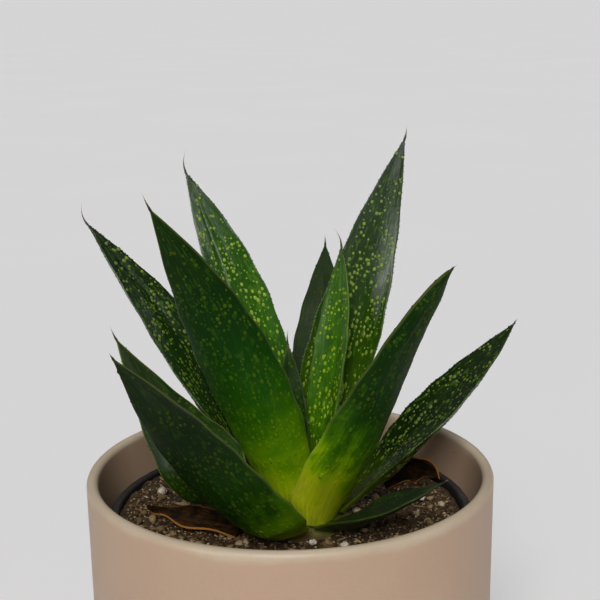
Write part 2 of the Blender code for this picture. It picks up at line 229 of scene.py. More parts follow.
LOOKS = {
    "leaf_centre_young": Look(
        (
            (0.0, (0.03, 0.06, 0.004)), (0.5, (0.012, 0.042, 0.001)), (0.94, (0.010, 0.036, 0.001)),
            (1.0, (0.05, 0.08, 0.008)),
        ),
        0.3, 0.1, 0.4, (0.3, 0.0, 4.0),
    ),
    "leaf_centre_hooked": Look(
        (
            (0.0, (0.15, 0.22, 0.006)), (0.22, (0.044, 0.130, 0.001)), (0.55, (0.034, 0.125, 0.001)),
            (0.9, (0.036, 0.118, 0.004)), (1.0, (0.02, 0.06, 0.008)),
        ),
        0.94, 0.10, 0.62, (-2.2, 0.0, 5.6), groove=(-0.25, 0.55),
    ),
    "leaf_back_left": Look(
        (
            (0.0, (0.12, 0.17, 0.006)), (0.25, (0.009, 0.050, 0.001)), (0.45, (0.030, 0.125, 0.001)),
            (0.7, (0.020, 0.090, 0.001)), (0.92, (0.012, 0.048, 0.002)), (1.0, (0.008, 0.02, 0.004)),
        ),
        0.96, 0.10, 1.3, (0.3, 0.0, 6.8), groove=(0.12, 0.70),
    ),
    # Pale foot partly painted light shining through the flesh; the dark tip is partly painted shade.
    "leaf_front_left": Look(
        (
            (0.0, (0.46, 0.54, 0.010)), (0.10, (0.40, 0.52, 0.004)), (0.18, (0.25, 0.40, 0.002)),
            (0.26, (0.115, 0.25, 0.001)), (0.34, (0.046, 0.145, 0.001)), (0.44, (0.015, 0.075, 0.001)),
            (0.56, (0.005, 0.040, 0.001)), (0.72, (0.003, 0.024, 0.001)), (1.0, (0.006, 0.020, 0.001)),
        ),
        0.28, 0.25, 0.06, (-1.8, 0.0, 4.2), keel=(0.35, 0.30), teeth=0.2,
    ),
    "leaf_right_tall": Look(
        (
            (0.0, (0.14, 0.20, 0.004)), (0.25, (0.034, 0.090, 0.001)), (0.6, (0.013, 0.044, 0.001)),
            (0.92, (0.008, 0.026, 0.002)), (1.0, (0.008, 0.018, 0.004)),
        ),
        0.78, 0.05, 1.5, (0.3, 0.0, 3.6), groove=(-0.86, 0.20),
    ),
    "leaf_left_high": Look(
        (
            (0.0, (0.09, 0.14, 0.004)), (0.25, (0.016, 0.056, 0.001)), (0.6, (0.006, 0.027, 0.001)),
            (0.92, (0.004, 0.016, 0.001)), (1.0, (0.006, 0.014, 0.004)),
        ),
        0.64, 0.05, 1.0, (-1.0, 0.0, 6.5), groove=(-0.1, 0.85),
    ),
    "leaf_left_low": Look(
        (
            (0.0, (0.12, 0.18, 0.006)), (0.3, (0.020, 0.070, 0.001)), (0.7, (0.009, 0.028, 0.001)),
            (1.0, (0.014, 0.026, 0.006)),
        ),
        0.30, 0.80, 0.35, (-1.5, 0.0, 4.0), teeth=0.2,
    ),
    # Pale foot partly painted light shining through the flesh; the colour slant across it darkens one
    # side of the foot as painted shade.
    "leaf_front_right": Look(
        (
            (0.0, (0.56, 0.62, 0.020)), (0.07, (0.43, 0.53, 0.008)), (0.13, (0.21, 0.37, 0.002)),
            (0.19, (0.062, 0.165, 0.001)), (0.25, (0.018, 0.068, 0.001)), (0.33, (0.005, 0.028, 0.001)),
            (0.6, (0.003, 0.020, 0.001)), (1.0, (0.010, 0.030, 0.004)),
        ),
        0.24, 0.25, 0.06, (1.3, 0.0, 1.0), keel=(-0.62, 1.0), teeth=0.2, painted_side_shade=0.08,
    ),
    # Dark all over: painted shade, for a leaf that stands in the shade of the others.
    "leaf_back": Look(
        (
            (0.0, (0.06, 0.09, 0.006)), (0.3, (0.010, 0.024, 0.004)), (1.0, (0.016, 0.032, 0.008)),
        ),
        0.10, 0.05, 0.1, (-0.1, 0.0, 3.2), teeth=0.2,
    ),
    "leaf_right_low": Look(
        (
            (0.0, (0.12, 0.17, 0.010)), (0.2, (0.030, 0.062, 0.002)), (0.35, (0.006, 0.018, 0.001)),
            (0.7, (0.007, 0.021, 0.001)), (1.0, (0.010, 0.022, 0.003)),
        ),
        0.62, 0.05, 1.1, (0.9, 0.0, 1.2), groove=(0.15, 0.75),
    ),
    "leaf_front_small": Look(
        (
            (0.0, (0.05, 0.08, 0.006)), (0.2, (0.010, 0.026, 0.002)), (0.8, (0.008, 0.022, 0.003)),
            (1.0, (0.010, 0.022, 0.003)),
        ),
        0.12, 0.1, 0.3, (1.0, 0.0, 0.4), teeth=0.2,
    ),
    # Its pale foot is partly painted light, brightened against the shade that falls at the foot.
    "leaf_front_low": Look(
        (
            (0.0, (0.50, 0.60, 0.010)), (0.12, (0.36, 0.50, 0.004)), (0.21, (0.14, 0.27, 0.001)),
            (0.31, (0.050, 0.13, 0.001)), (0.43, (0.008, 0.034, 0.001)), (0.7, (0.003, 0.012, 0.001)),
            (1.0, (0.005, 0.014, 0.002)),
        ),
        0.13, 0.25, 0.05, (-1.0, 0.0, 1.8), keel=(0.1, 0.35), teeth=0.2,
    ),
}


class Curl(NamedTuple):
    """A dry leaf curled round a path: each point is an angle, a share of the way out and a height."""

    start: tuple
    knee: tuple
    tip: tuple
    face: tuple
    width: float
    wrap: float
    thick: float


CURLS = {
    "dried_leaf_left": Curl(
        (220.0, 0.159, 0.0022), (193.1, 0.478, 0.0030), (176.8, 0.793, 0.0022),
        (0.1, -0.45, 0.9), 0.0094, 95, 0.0006,
    ),
    "dried_leaf_right": Curl(
        (32.8, 0.490, 0.0034), (35.8, 0.963, 0.0068), (19.5, 0.962, 0.0032),
        (-0.15, -1.0, 0.12), 0.0098, 120, 0.0006,
    ),
}


# Materials


class Nodes:
    """A short way to write a material's nodes. A value is a constant or another node's output."""

    def __init__(self, name):
        self.material = bpy.data.materials.new(name)
        self.material.use_nodes = True
        self.tree = self.material.node_tree
        self.shader = self.tree.nodes["Principled BSDF"]

    def node(self, kind, **settings):
        made = self.tree.nodes.new("ShaderNode" + kind)
        for key, value in settings.items():
            setattr(made, key, value)
        return made

    def put(self, socket, value):
        if isinstance(value, bpy.types.NodeSocket):
            self.tree.links.new(value, socket)
        else:
            socket.default_value = value

    def attribute(self, name):
        return self.node("Attribute", attribute_name=name).outputs["Fac"]

    def place(self):
        return self.node("TexCoord").outputs["Object"]

    def math(self, operation, first, second=0.0, clamp=False):
        made = self.node("Math", operation=operation, use_clamp=clamp)
        self.put(made.inputs[0], first)
        self.put(made.inputs[1], second)
        return made.outputs[0]

    def times(self, first, second):
        return self.math("MULTIPLY", first, second)

    def vector(self, x, y, z):
        made = self.node("CombineXYZ")
        for socket, value in zip(made.inputs, (x, y, z)):
            self.put(socket, value)
        return made.outputs[0]

    def noise(self, vector, scale, detail=3.0, roughness=0.55):
        made = self.node("TexNoise")
        self.put(made.inputs["Vector"], vector)
        for key, value in (("Scale", scale), ("Detail", detail), ("Roughness", roughness)):
            made.inputs[key].default_value = value
        return made.outputs["Fac"]

    def cells(self, vector, scale, output="Distance"):
        made = self.node("TexVoronoi")
        self.put(made.inputs["Vector"], vector)
        made.inputs["Scale"].default_value = scale
        return made.outputs[output]

    def between(self, value, low, high, out_low=0.0, out_high=1.0):
        made = self.node("MapRange", interpolation_type="SMOOTHSTEP")
        self.put(made.inputs["Value"], value)
        ends = {"From Min": low, "From Max": high, "To Min": out_low, "To Max": out_high}
        for key, end in ends.items():
            made.inputs[key].default_value = end
        return made.outputs["Result"]

    def ramp(self, value, stops):
        made = self.node("ValToRGB")
        self.put(made.inputs["Fac"], value)
        elements = made.color_ramp.elements
        while len(elements) < len(stops):
            elements.new(1.0)
        for element, (position, colour) in zip(elements, stops):
            element.position = position
            element.color = (*colour, 1.0)
        return made.outputs["Color"]

    def mix(self, share, first, second, blend="MIX"):
        made = self.node("Mix", data_type="RGBA", blend_type=blend)
        self.put(made.inputs["Factor"], share)
        for index, value in ((6, first), (7, second)):
            self.put(made.inputs[index], (*value, 1.0) if isinstance(value, tuple) else value)
        return made.outputs[2]

    def bump(self, height, strength, distance):
        made = self.node("Bump")
        self.put(made.inputs["Height"], height)
        made.inputs["Strength"].default_value = strength
        made.inputs["Distance"].default_value = distance
        return made.outputs["Normal"]

    def finish(self, colour, roughness, normal, specular=0.5, coat=0.0):
        inputs = self.shader.inputs
        self.put(inputs["Base Color"], colour)
        self.put(inputs["Roughness"], roughness)
        self.put(inputs["Normal"], normal)
        inputs["Specular IOR Level"].default_value = specular
        inputs["Coat Weight"].default_value = coat
        inputs["Coat Roughness"].default_value = 0.1
        return self.material


def leaf_material(name, look, length, width, seed):
    """Waxy green skin: pale foot, partly painted light, lengthwise streaks, raised pale spots and a
    thin pale margin, with painted shade on one side of some feet.
    """
    n = Nodes(name)
    along = n.attribute("along")
    across = n.attribute("across")
    mm_along = n.times(along, length / MM)
    mm_across = n.times(across, width / MM / 2)
    skin = n.vector(mm_along, mm_across, seed)
    streak = n.vector(n.times(mm_along, 0.09), mm_across, seed)
    patches = n.noise(skin, 0.16)
    streaks = n.noise(streak, 1.3, 4.0, 0.6)
    shifted = n.math("ADD", along, n.between(patches, 0.3, 0.7, -0.05, 0.05))
    shifted = n.math("ADD", shifted, n.between(streaks, 0.3, 0.7, -0.03, 0.03))
    # Painted shade: the colours shift along the leaf with the level across it, so one side of the foot
    # is darker, like the side turned from the light.
    shifted = n.math("ADD", shifted, n.times(across, look.painted_side_shade))
    colour = n.ramp(shifted, look.colours)
    colour = n.mix(n.between(streaks, 0.40, 0.75, 0.0, 0.75), colour, (1.9, 1.7, 1.3), "MULTIPLY")
    colour = n.mix(n.between(patches, 0.38, 0.60, 0.45, 0.0), colour, (0.45, 0.55, 0.5), "MULTIPLY")
    cloud = n.noise(n.vector(n.times(mm_along, 0.5), mm_across, seed), 0.75, 1.0)
    fleck = n.times(n.between(cloud, 0.56, 0.66), 0.40 * look.spots)
    colour = n.mix(fleck, colour, FLECK_COLOUR)
    spot_colour = n.mix(0.05 + 0.90 * look.spots**2, colour, SPOT_COLOUR)
    colour = n.mix(n.attribute("spot"), colour, spot_colour)
    colour = n.mix(n.times(n.attribute("rim"), look.rim), colour, MARGIN_COLOUR)
    hair = n.attribute("hair")
    colour = n.mix(n.between(hair, 0.05, 0.35), colour, n.ramp(hair, AWN_COLOURS))
    grain = n.noise(skin, 5.0, 2.0)
    uneven = n.math("ADD", grain, n.times(patches, 0.6))
    matt = max(0.45 - 0.29 * look.gloss, 0.15)
    rough = n.between(uneven, 0.45, 1.15, matt, matt + 0.10)
    rough = n.math("ADD", rough, n.times(n.attribute("spot"), 0.50), clamp=True)
    ridges = n.math("ADD", n.times(streaks, 0.8), n.times(grain, 0.25))
    normal = n.bump(ridges, 0.35, 0.00035)
    return n.finish(colour, rough, normal, specular=0.04 + 0.40 * look.gloss, coat=0.10 * look.gloss)


def ceramic_material(rim_height):
    """Matte cream stoneware with soft mottling, a paler rim that is partly worn glaze and partly
    painted highlight, and a few brown specks.
    """
    n = Nodes("cover_pot_stoneware")
    place = n.place()
    clouds = n.noise(place, 14.0, 4.0)
    blush = n.noise(place, 5.0, 2.0)
    colour = n.mix(n.between(clouds, 0.35, 0.65), (0.490, 0.336, 0.230), (0.520, 0.366, 0.252))
    colour = n.mix(n.between(blush, 0.45, 0.65, 0.0, 0.7), colour, (0.525, 0.345, 0.243))
    height = n.node("SeparateXYZ")
    n.put(height.inputs[0], place)
    shift = n.between(n.noise(place, 60.0), 0.3, 0.7, -0.0008, 0.0008)
    uneven = n.math("ADD", height.outputs["Z"], shift)
    # The rim is painted paler near its top: partly worn glaze, partly painted highlight where the rim's
    # top catches the light.
    rim = n.between(uneven, rim_height - 0.0034, rim_height - 0.0006, 0.0, 0.85)
    colour = n.mix(rim, colour, (0.580, 0.480, 0.350))
    fine = n.noise(place, 900.0, 2.0)
    colour = n.mix(n.between(fine, 0.3, 0.7, 0.0, 0.06), colour, (0.30, 0.22, 0.15))
    lot = n.node("SeparateColor")
    n.put(lot.inputs[0], n.cells(place, 230.0, "Color"))
    dot = n.between(n.cells(place, 230.0), 0.09, 0.05)
    speck = n.times(dot, n.between(lot.outputs[0], 0.93, 0.935))
    colour = n.mix(n.times(speck, 0.8), colour, (0.16, 0.085, 0.04))
    rough = n.between(clouds, 0.3, 0.7, 0.40, 0.50)
    relief = n.math("MULTIPLY_ADD", n.noise(place, 160.0), 0.7)
    n.put(relief.node.inputs[2], n.times(speck, -0.5))
    return n.finish(colour, rough, n.bump(relief, 0.06, 0.0005), specular=0.45)


def plastic_material():
    """Black moulded plastic with a little dried dust."""
    n = Nodes("nursery_pot_plastic")
    place = n.place()
    dust = n.noise(place, 120.0, 4.0)
    colour = n.mix(n.between(dust, 0.55, 0.8, 0.0, 0.5), (0.012, 0.012, 0.013), (0.07, 0.055, 0.04))
    rough = n.between(dust, 0.35, 0.7, 0.32, 0.62)
    return n.finish(colour, rough, n.bump(n.noise(place, 700.0, 2.0), 0.15, 0.0002))


def soil_material(name):
    """Dark damp peat and bark, each crumb a little different."""
    n = Nodes(name)
    place = n.place()
    tone = n.attribute("tone")
    colour = n.ramp(tone, (
        (0.0, (0.016, 0.008, 0.002)), (0.35, (0.070, 0.038, 0.012)), (0.68, (0.19, 0.115, 0.045)),
        (0.88, (0.34, 0.235, 0.115)), (0.97, (0.52, 0.43, 0.28)),
    ))
    grain = n.noise(place, 1500.0)
    colour = n.mix(n.between(grain, 0.35, 0.7, 0.5, 0.0), colour, (0.35, 0.30, 0.25), "MULTIPLY")
    rough = n.between(grain, 0.3, 0.7, 0.6, 0.95)
    return n.finish(colour, rough, n.bump(grain, 0.6, 0.0004), specular=0.35)


def perlite_material():
    """White foamed grains, pitted and stained."""
    n = Nodes("perlite_foam")
    place = n.place()
    pores = n.cells(place, 2600.0)
    stain = n.noise(place, 500.0)
    colour = n.mix(n.between(stain, 0.4, 0.7), (0.66, 0.62, 0.54), (0.38, 0.28, 0.18))
    colour = n.mix(n.between(pores, 0.35, 0.1, 0.0, 0.5), colour, (0.30, 0.24, 0.18))
    return n.finish(colour, 0.85, n.bump(pores, 0.7, 0.0004), specular=0.3)


def bark_material():
    """Dark red-brown bark with lengthwise fibres."""
    n = Nodes("bark_wood")
    place = n.place()
    fibre = n.node("Mapping")
    n.put(fibre.inputs["Vector"], place)
    fibre.inputs["Scale"].default_value = (1.0, 6.0, 3.0)
    lines = n.noise(fibre.outputs[0], 420.0, 4.0)
    colour = n.ramp(lines, (
        (0.30, (0.030, 0.014, 0.006)), (0.50, (0.11, 0.052, 0.022)), (0.72, (0.30, 0.15, 0.06)),
    ))
    return n.finish(colour, 0.8, n.bump(lines, 0.8, 0.0005), specular=0.3)


def dry_leaf_material():
    """Papery brown with darker veins and an orange-tan rim."""
    n = Nodes("dried_leaf_paper")
    along = n.times(n.attribute("along"), 8.0)
    across = n.attribute("across")
    veins = n.noise(n.vector(along, n.times(across, 9.0), 0.0), 1.6, 4.0)
    blotch = n.noise(n.place(), 260.0, 4.0)
    colour = n.mix(n.between(veins, 0.3, 0.7), (0.008, 0.004, 0.001), (0.065, 0.028, 0.007))
    colour = n.mix(n.between(blotch, 0.42, 0.62, 0.0, 0.8), colour, (0.004, 0.003, 0.0015))
    colour = n.mix(n.attribute("rim"), colour, (0.30, 0.13, 0.030))
    height = n.math("ADD", veins, n.times(blotch, 0.4))
    rough = n.between(veins, 0.3, 0.7, 0.5, 0.75)
    return n.finish(colour, rough, n.bump(height, 0.9, 0.0006), specular=0.08)


def crown_material():
    """Fleshy pale stem, stained by the mix."""
    n = Nodes("rootstock_flesh")
    place = n.place()
    mottle = n.noise(place, 180.0, 4.0)
    colour = n.mix(n.between(mottle, 0.4, 0.65), (0.14, 0.16, 0.03), (0.09, 0.055, 0.022))
    return n.finish(colour, n.between(mottle, 0.3, 0.7, 0.4, 0.7), n.bump(mottle, 0.5, 0.0006))


def floor_material():
    """Pale matt paint, which glows very slightly so that it stays pale far off."""
    n = Nodes("floor_paint")
    cloud = n.noise(n.place(), 3.0)
    colour = n.mix(n.between(cloud, 0.3, 0.7), (0.785, 0.78, 0.79), (0.80, 0.795, 0.805))
    n.shader.inputs["Emission Color"].default_value = (1.0, 0.985, 1.0, 1.0)
    n.shader.inputs["Emission Strength"].default_value = FLOOR_GLOW
    return n.finish(colour, 0.75, n.bump(n.noise(n.place(), 220.0, 2.0), 0.05, 0.0005), specular=0.0)


# Meshes


def unit(vectors):
    return vectors / np.linalg.norm(vectors, axis=-1, keepdims=True)


def smoothstep(value):
    value = np.clip(value, 0.0, 1.0)
    return value * value * (3 - 2 * value)


def add_object(name, data):
    """A new object, in the scene."""
    made = bpy.data.objects.new(name, data)
    bpy.context.scene.collection.objects.link(made)
    return made


def new_piece(name, points, faces, material, node=None, slot=None, **attributes):
    """A smooth mesh that rides on the pot, with a number for each point under each attribute's name."""
    mesh = bpy.data.meshes.new(name)
    mesh.from_pydata(np.asarray(points).tolist(), [], [list(face) for face in faces])
    for key, values in attributes.items():
        layer = mesh.attributes.new(key, "FLOAT", "POINT")
        layer.data.foreach_set("value", np.asarray(values, np.float32))
    mesh.update()
    mesh.shade_smooth()
    for polygon in mesh.polygons:
        if len(polygon.vertices) > 4:
            polygon.use_smooth = False  # an end cap stays flat, so the skin beside it shades cleanly
    mesh.materials.append(material)
    piece = add_object(name, mesh)
    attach(piece, "root")
    if node:
        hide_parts(node)


def capped_faces(rows, columns):
    """Faces between rings that close on themselves, with a cap on the first ring and on the last."""
    row, column = np.meshgrid(np.arange(rows - 1), np.arange(columns), indexing="ij")
    after = (column + 1) % columns
    this, following = row * columns, (row + 1) * columns
    quads = (this + column, following + column, following + after, this + after)
    first = list(range(columns))
    last = [(rows - 1) * columns + corner for corner in reversed(first)]
    return [*np.stack(quads, axis=-1).reshape(-1, 4).tolist(), first, last]


def crown_height(radius):
    """How high the crown's cone is at a radius."""
    share = (radius - CROWN_TOP_RADIUS) / (CROWN_RADIUS - CROWN_TOP_RADIUS)
    return CROWN_HEIGHT + (CROWN_EDGE - CROWN_HEIGHT) * min(max(share, 0.0), 1.0)


def bow(start, knee, tip, s):
    """Places and directions on a curve that bends towards its knee."""
    place = start * (1 - s) ** 2 + knee * (2 * s * (1 - s)) + tip * s**2
    return place, unit((knee - start) * (1 - s) + (tip - knee) * s)


def leaf_frame(leaf, share):
    """Places and axes along a leaf's middle line: (place, along, across, inward)."""
    turn = math.radians(leaf.azimuth)
    out = np.array([math.cos(turn), math.sin(turn), 0.0])
    side = np.array([-math.sin(turn), math.cos(turn), 0.0])
    foot = out * leaf.seat + UP * (crown_height(leaf.seat) + leaf.foot_gap)
    tip = out * leaf.reach + side * leaf.drift + UP * leaf.rise
    launch = math.radians(leaf.launch)
    heading = out * math.cos(launch) + UP * math.sin(launch) + side * leaf.lean
    knee = foot + heading * (leaf.lead * np.linalg.norm(tip - foot))
    s = np.asarray(share, float)[..., None]
    place, along = bow(foot, knee, tip, s)
    across = unit(side - along * (along @ side)[..., None])
    inward = np.cross(along, across)
    twist = np.radians(leaf.twist) * smoothstep((s - 0.12) / 0.5)
    across, inward = (
        across * np.cos(twist) + inward * np.sin(twist),
        inward * np.cos(twist) - across * np.sin(twist),
    )
    return place, along, across, inward


def half_width(leaf, share):
    """Half of a leaf's width at a share of its length."""
    swell = smoothstep(share / leaf.peak)
    grow = (leaf.foot_width + (leaf.width - leaf.foot_width) * swell) / 2
    late = np.clip((share - leaf.peak) / (1 - leaf.peak), 0.0, 1.0)
    taper = np.maximum(leaf.width / 2 * (1 - late**leaf.fullness), TIP_HALF_WIDTH)
    return np.where(share < leaf.peak, grow, taper)


def thickness(leaf, share):
    """A leaf's thickness in the middle, at a share of its length."""
    swell = FOOT_THICKNESS_SHARE + (1 - FOOT_THICKNESS_SHARE) * np.minimum(share / BODY_START, 1.0)
    late = np.clip((share - BODY_START) / (1 - BODY_START), 0.0, 1.0)
    return leaf.thick * swell * (1 - TIP_THICKNESS_LOSS * late**1.3)


def curvature(leaf, share, place, along, half):
    """How sharply a section bends round the plant's axis."""
    from_axis = np.maximum(np.hypot(place[..., 0], place[..., 1]), 0.001)
    steep = np.clip(along[..., 2], 0.2, 1.0)
    return 1 / np.maximum(from_axis / steep, half / 1.5) + leaf.cup * np.minimum(share / 0.4, 1.0)


def bent(place, across, inward, bend, half, level, depth):
    """A point of a leaf's section, which is an arc from margin to margin, at a depth behind it."""
    angle = half * bend * level
    radius = 1 / bend + depth
    x = radius * np.sin(angle)
    y = 1 / bend - radius * np.cos(angle)
    return place + across * x[..., None] + inward * y[..., None]


def plain_leaf(leaf):
    """The model's own sections of a leaf, from which its place is found."""
    shares, levels = np.linspace(0, 1, MODEL_STATIONS), np.linspace(-1, 1, MODEL_POINTS)
    share, level = np.meshgrid(shares, levels, indexing="ij")
    place, along, across, inward = leaf_frame(leaf, share)
    half = half_width(leaf, share)
    bend = curvature(leaf, share, place, along, half)
    thick = thickness(leaf, share)
    margin = np.minimum(MARGIN, thick * 0.5)
    behind = margin + (thick - margin) * (1 - np.abs(level) ** 1.8)
    faces = [bent(place, across, inward, bend, half, level, depth) for depth in (behind * 0.0, behind)]
    return np.concatenate(faces).reshape(-1, 3)


class LeafSkin:
    """The fine surface of one leaf, in the row frame."""

    def __init__(self, leaf, look, name, seed):
        self.leaf, self.look = leaf, look
        self.phases = np.random.default_rng(seed).uniform(0, 2 * math.pi, 8)
        plain = plain_leaf(leaf)
        low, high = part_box(name)
        self.origin = (np.array(low) + np.array(high)) / 2 - (plain.min(0) + plain.max(0)) / 2
        line = leaf_frame(leaf, np.linspace(0, 1, 60))[0]
        self.length = np.linalg.norm(np.diff(line, axis=0), axis=1).sum()

    def waver(self, share, level):
        """A slow unevenness of the blade, in metres."""
        p = self.phases
        waves = np.sin(share * 19 + p[0]) + 0.7 * np.sin(share * 31 + level * 2.2 + p[1])
        waves += 0.5 * np.sin(level * 5.0 + share * 9 + p[2])
        return 0.00006 * waves * smoothstep(share / 0.3)

    def points(self, share, level, lower):
        """Points for each share of the length, each level across and each face: upper 0, lower 1."""
        leaf, look = self.leaf, self.look
        inside = np.clip(share, 0.0, 1.0)
        place, along, across, inward = leaf_frame(leaf, inside)
        half = half_width(leaf, inside)
        half = half * (1 + 0.02 * np.sin(inside * 47 + level * 3 + self.phases[3]))
        thick = thickness(leaf, inside)
        thick = thick * (1 - 0.65 * smoothstep((inside - 0.80) / 0.2))
        bend = curvature(leaf, inside, place, along, half)
        margin = np.minimum(MARGIN, thick * 0.5)
        edge = np.sqrt(np.maximum(1 - np.abs(level) ** 14, 0.0))
        middle = np.sin(math.pi * inside) ** 0.7
        keel = look.keel[1] * MM * np.exp(-(((level - look.keel[0]) / 0.13) ** 2)) * middle
        groove = look.groove[1] * MM * np.exp(-(((level - look.groove[0]) / 0.16) ** 2)) * middle
        upper = margin / 2 * (1 - edge) + groove
        behind = margin / 2 * (1 + edge) + (thick - margin) * (1 - np.abs(level) ** 1.8) + keel
        depth = np.where(lower > 0.5, behind, upper) + self.waver(inside, level)
        return bent(place, across, inward, bend, half, level, depth) + self.origin

    def hair(self):
        """Shares along the thin awn past the tip, and the places there."""
        step = np.linspace(0, 1, HAIR_STATIONS + 1)[1:]
        place, along = (part[0] for part in leaf_frame(self.leaf, np.array([1.0]))[:2])
        end = np.array(self.look.hair) * MM
        knee = along * (np.linalg.norm(end) * 0.45)
        t = step[:, None]
        path = place + self.origin + knee * (2 * t * (1 - t)) + end * t**2
        return step, path


def leaf_levels():
    """Levels round a ring, closer at the margins: over the upper face and back on the lower."""
    upper = np.sin(math.pi / 2 * np.linspace(-1, 1, ACROSS_POINTS))
    level = np.concatenate([upper, upper[-2:0:-1]])
    lower = np.concatenate([np.zeros(ACROSS_POINTS), np.ones(ACROSS_POINTS - 2)])
    return level, lower


def leaf_body(skin):
    """(points, faces, attributes) of a leaf and its awn."""
    levels, faces_of = leaf_levels()
    eased = np.linspace(0, 1, LEAF_STATIONS)
    eased = eased + 0.12 * np.sin(math.pi * eased) * eased
    share, level = np.meshgrid(eased, levels, indexing="ij")
    lower = np.broadcast_to(faces_of, share.shape)
    points = skin.points(share, level, lower)
    step, path = skin.hair()
    last = points[-1] - points[-1].mean(0)
    rings = [centre + last * (0.92 * (1 - t) ** 1.4 + 0.05) for t, centre in zip(step, path)]
    points = np.concatenate([points, np.array(rings)])
    columns = len(levels)
    faces = capped_faces(len(points), columns)
    hair = np.concatenate([smoothstep((eased - 0.97) / 0.03) * 0.25, 0.3 + 0.7 * step])
    width_mm = np.maximum(half_width(skin.leaf, eased), 0.0006) / MM
    margin = smoothstep((np.abs(level) - (1 - 0.50 / width_mm[:, None])) * width_mm[:, None] / 0.42)
    count = len(points)
    attributes = {
        "along": np.repeat(np.concatenate([eased, np.ones(HAIR_STATIONS)]), columns),
        "across": np.tile(levels, count),
        "rim": np.concatenate([margin.ravel(), np.zeros(HAIR_STATIONS * columns)]),
        "hair": np.repeat(hair, columns),
        "spot": np.zeros(count * columns),
    }
    return points.reshape(-1, 3), faces, attributes


def spot_places(skin, rng, lower):
    """Shares and levels of the raised spots on one face, in loose lengthwise rows."""
    leaf = skin.leaf
    rows = int(leaf.width / SPOT_ROW_GAP)
    found = []
    for row in range(rows):
        base = -0.90 + 1.80 * (row + 0.5) / rows
        place = rng.uniform(0.02, 0.10)
        while place < 0.95:
            place += SPOT_STEP * rng.uniform(0.6, 1.7) / skin.length
            level = base + rng.normal(0, 0.33) / rows
            room = half_width(leaf, np.array(place)) / leaf.width * 2
            bands = 0.5 + 0.5 * math.sin(place * 34 + level * 2.5 + skin.phases[4] + lower)
            chance = (0.34 + 0.75 * bands) * room**0.8
            chance *= smoothstep((place - 0.10) / 0.12) * (1 - 0.6 * smoothstep((place - 0.75) / 0.2))
            if rng.random() < chance and abs(level) < 0.93:
                found.append((place, level))
    return np.array(found)


def domes(places, normal, along, across, long, wide, high):
    """(points, faces, height share) of low round bumps that stand on a surface."""
    turn = np.linspace(0, 2 * math.pi, DOME_SIDES, endpoint=False)
    count = len(places)
    rings = [places[:, None] + normal[:, None] * high[:, None, None]]
    for radius, rise in ((0.60, high * 0.78), (1.05, np.full(count, -DOME_SINK))):
        x = np.cos(turn)[None, :, None] * (long * radius)[:, None, None]
        y = np.sin(turn)[None, :, None] * (wide * radius)[:, None, None]
        ring = places[:, None] + along[:, None] * x + across[:, None] * y
        rings.append(ring + normal[:, None] * rise[:, None, None])
    points = np.concatenate(rings, axis=1)
    faces = []
    for index in range(DOME_SIDES):
        after = (index + 1) % DOME_SIDES
        faces.append((0, 1 + index, 1 + after))
        faces.append((1 + index, 1 + DOME_SIDES + index, 1 + DOME_SIDES + after, 1 + after))
    faces.append(tuple(reversed(range(1 + DOME_SIDES, DOME_POINTS))))
    all_faces = [[corner + DOME_POINTS * i for corner in face] for i in range(count) for face in faces]
    share = np.tile(np.array([1.0] + [0.9] * DOME_SIDES + [0.05] * DOME_SIDES), count)
    return points.reshape(-1, 3), all_faces, share


def leaf_spots(skin, rng):
    """The raised spots of both faces."""
    parts = []
    for lower in (0.0, 1.0):
        found = spot_places(skin, rng, lower)
        if not len(found):
            continue
        share, level = found[:, 0], found[:, 1]
        side = np.full(len(share), lower)
        place = skin.points(share, level, side)
        ahead = skin.points(share + 0.004, level, side) - place
        beside = skin.points(share, level + 0.02, side) - place
        along = unit(ahead)
        normal = unit(np.cross(ahead, beside)) * (1 if lower < 0.5 else -1)
        across = np.cross(normal, along)
        size = (0.42 + 0.95 * rng.random(len(share)) ** 1.4) * SPOT_RADIUS
        stretch = 1.15 + rng.uniform(0.0, 1.3, len(share)) * (1 - smoothstep((share - 0.25) / 0.5))
        high = SPOT_HEIGHT * rng.uniform(0.7, 1.2, len(share)) * (0.3 + 0.7 * skin.look.spots)
        high = high * (0.4 + 0.6 * smoothstep((share - 0.15) / 0.3))
        points, faces, top = domes(place, normal, along, across, size * stretch, size, high)
        top = top * np.repeat(rng.uniform(0.50, 1.0, len(share)), DOME_POINTS)
        parts.append((points, faces, np.repeat(share, DOME_POINTS), np.repeat(level, DOME_POINTS), top))
    return parts


def leaf_teeth(skin, rng):
    """Small pale points along both margins."""
    places = []
    for side in (-1.0, 1.0):
        place = 0.22
        while place < 0.985:
            place += TOOTH_STEP * rng.uniform(0.5, 1.6) / skin.length
            if rng.random() < skin.look.teeth * 0.8:
                places.append((min(place, 0.985), side))
    places = np.array(places)
    share, level = places[:, 0], places[:, 1]
    zero = np.zeros(len(share))
    place = skin.points(share, level, zero)
    along = unit(skin.points(share + 0.004, level, zero) - place)
    inner = skin.points(share, level * 0.93, zero)
    normal = unit(place - inner)
    across = np.cross(normal, along)
    size = rng.uniform(0.7, 1.2, len(share)) * TOOTH_RADIUS
    root = place - normal * TOOTH_SINK
    points, faces, top = domes(root, normal, along, across, size * 1.3, size * 0.9, size * 0.95)
    return [(points, faces, np.repeat(share, DOME_POINTS), np.repeat(level, DOME_POINTS), top * 0.6)]


